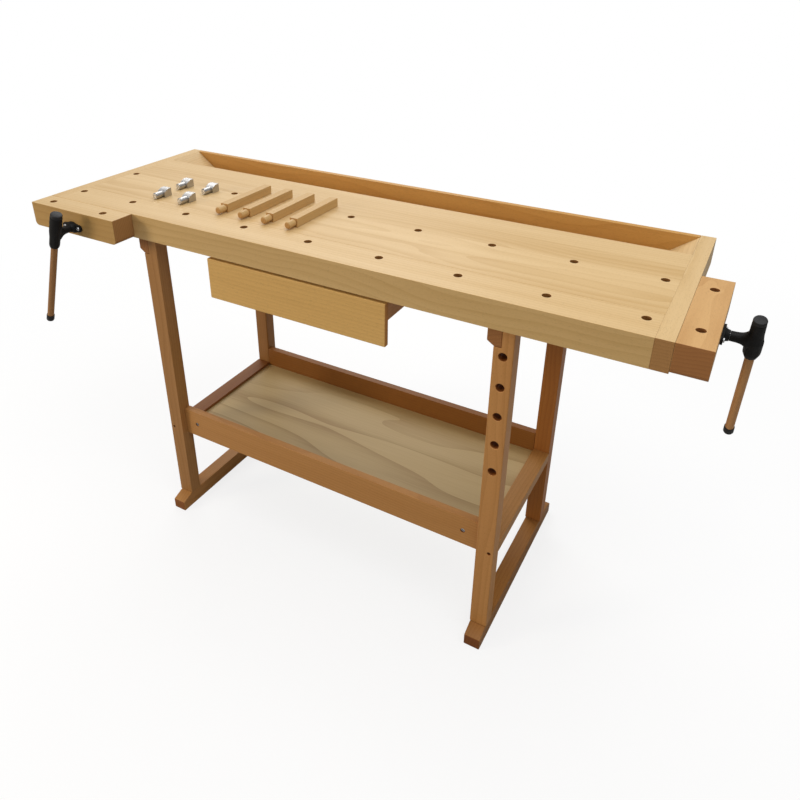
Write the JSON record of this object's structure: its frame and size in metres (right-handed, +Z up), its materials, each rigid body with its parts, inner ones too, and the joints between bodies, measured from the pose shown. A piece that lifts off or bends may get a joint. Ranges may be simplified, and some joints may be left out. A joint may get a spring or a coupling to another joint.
{
  "type": "woodworking bench with vises",
  "caption": "Beech woodworking bench with a front vise, a tail vise, dog holes, a rear tool tray, a drawer and a lower shelf on sled-foot trestles.",
  "frame": {"origin": "on the floor under the middle of the whole bench, vises closed", "axes": "+X along the bench towards the tail vise, +Y to the rear, where the tool tray is, +Z up"},
  "size_m": [1.5782, 0.6294, 0.8703],
  "materials": {
    "top_beech": "satin varnish",
    "frame_beech": "satin varnish",
    "jaw_beech": "satin varnish",
    "tray_beech": "satin varnish",
    "plywood": "satin varnish",
    "bar_beech": "satin varnish",
    "black_casting": "matte black paint",
    "black_plastic": "matte",
    "steel": "turned",
    "bright_steel": "bright plated"
  },
  "bodies": {
    "bench": {"front_strip": "top_beech", "top_panel": "top_beech", "left_end_cap": "top_beech", "right_end_cap": "top_beech", "tray_ramp_left": "top_beech", "tray_ramp_right": "top_beech", "rear_rail": "tray_beech", "tray_floor": "plywood", "shelf_panel": "plywood", "left_front_leg": "frame_beech", "left_rear_leg": "frame_beech", "left_foot": "frame_beech", "left_bearer": "frame_beech", "drawer_runner_left": "frame_beech", "shelf_left_rail": "frame_beech", "right_front_leg": "frame_beech", "right_rear_leg": "frame_beech", "right_foot": "frame_beech", "right_bearer": "frame_beech", "drawer_runner_right": "frame_beech", "shelf_right_rail": "frame_beech", "shelf_front_rail": "frame_beech", "shelf_front_barrel_nut_left": "bright_steel", "shelf_front_barrel_nut_right": "bright_steel", "shelf_rear_rail": "frame_beech", "shelf_rear_barrel_nut_left": "bright_steel", "shelf_rear_barrel_nut_right": "bright_steel", "tail_guide_block": "frame_beech", "front_vise_nut": "black_casting"},
    "front_jaw_carriage": {"front_chop": "jaw_beech", "front_vise_guide_rod_left": "steel", "front_vise_guide_rod_right": "steel", "front_vise_flange": "black_casting"},
    "front_spindle": {"front_vise_screw": "steel", "front_vise_hub": "black_casting"},
    "front_handle": {"front_vise_bar": "bar_beech", "front_vise_bar_head": "black_plastic", "front_vise_bar_cap": "black_plastic"},
    "tail_jaw_carriage": {"tail_jaw": "jaw_beech", "tail_vise_guide_rod_left": "steel", "tail_vise_guide_rod_right": "steel", "tail_vise_flange": "black_casting"},
    "tail_spindle": {"tail_vise_screw": "steel", "tail_vise_hub": "black_casting"},
    "tail_handle": {"tail_vise_bar": "bar_beech", "tail_vise_bar_head": "black_plastic", "tail_vise_bar_cap": "black_plastic"},
    "drawer": {"drawer_front": "frame_beech", "drawer_side_left": "plywood", "drawer_side_right": "plywood", "drawer_back": "plywood", "drawer_bottom": "plywood"},
    "loose_peg_1": {"peg_1": "frame_beech"},
    "loose_peg_2": {"peg_2": "frame_beech"},
    "loose_peg_3": {"peg_3": "frame_beech"},
    "loose_peg_4": {"peg_4": "frame_beech"},
    "loose_dog_1": {"bench_dog_1": "bright_steel"},
    "loose_dog_2": {"bench_dog_2": "bright_steel"},
    "loose_dog_3": {"bench_dog_3": "bright_steel"},
    "loose_dog_4": {"bench_dog_4": "bright_steel"}
  },
  "joints": [
    {"name": "front_jaw_slide", "type": "slide", "parent": "bench", "child": "front_jaw_carriage", "axis": [0, -1, 0], "range_m": [0, 0.1201]},
    {"name": "front_screw_turn", "type": "hinge", "parent": "front_jaw_carriage", "child": "front_spindle", "pos_m": [-0.65165, -0.24975, 0.812], "axis": [0, -1, 0], "range_deg": [0, 7200]},
    {"name": "front_handle_slide", "type": "slide", "parent": "front_spindle", "child": "front_handle", "axis": [0.3502, 0, 0.9367], "range_m": [0, 0.2]},
    {"name": "tail_jaw_slide", "type": "slide", "parent": "bench", "child": "tail_jaw_carriage", "axis": [1, 0, 0], "range_m": [0, 0.1201]},
    {"name": "tail_screw_turn", "type": "hinge", "parent": "tail_jaw_carriage", "child": "tail_spindle", "pos_m": [0.72415, -0.04845, 0.812], "axis": [1, 0, 0], "range_deg": [0, 7200]},
    {"name": "tail_handle_slide", "type": "slide", "parent": "tail_spindle", "child": "tail_handle", "axis": [0, -0.3584, 0.9336], "range_m": [0, 0.2]},
    {"name": "drawer_slide", "type": "slide", "parent": "bench", "child": "drawer", "axis": [0, -1, 0], "range_m": [0, 0.25]},
    {"name": "peg_1_lift", "type": "slide", "parent": "bench", "child": "loose_peg_1", "axis": [0, 0, 1], "range_m": [0, 0.06]},
    {"name": "peg_2_lift", "type": "slide", "parent": "bench", "child": "loose_peg_2", "axis": [0, 0, 1], "range_m": [0, 0.06]},
    {"name": "peg_3_lift", "type": "slide", "parent": "bench", "child": "loose_peg_3", "axis": [0, 0, 1], "range_m": [0, 0.06]},
    {"name": "peg_4_lift", "type": "slide", "parent": "bench", "child": "loose_peg_4", "axis": [0, 0, 1], "range_m": [0, 0.06]},
    {"name": "dog_1_lift", "type": "slide", "parent": "bench", "child": "loose_dog_1", "axis": [0, 0, 1], "range_m": [0, 0.06]},
    {"name": "dog_2_lift", "type": "slide", "parent": "bench", "child": "loose_dog_2", "axis": [0, 0, 1], "range_m": [0, 0.06]},
    {"name": "dog_3_lift", "type": "slide", "parent": "bench", "child": "loose_dog_3", "axis": [0, 0, 1], "range_m": [0, 0.06]},
    {"name": "dog_4_lift", "type": "slide", "parent": "bench", "child": "loose_dog_4", "axis": [0, 0, 1], "range_m": [0, 0.06]}
  ],
  "couplings": [
    {"joint": "front_jaw_slide", "follows": "front_screw_turn", "m_per_rad": 0.00095493},
    {"joint": "tail_jaw_slide", "follows": "tail_screw_turn", "m_per_rad": 0.00095493}
  ]
}
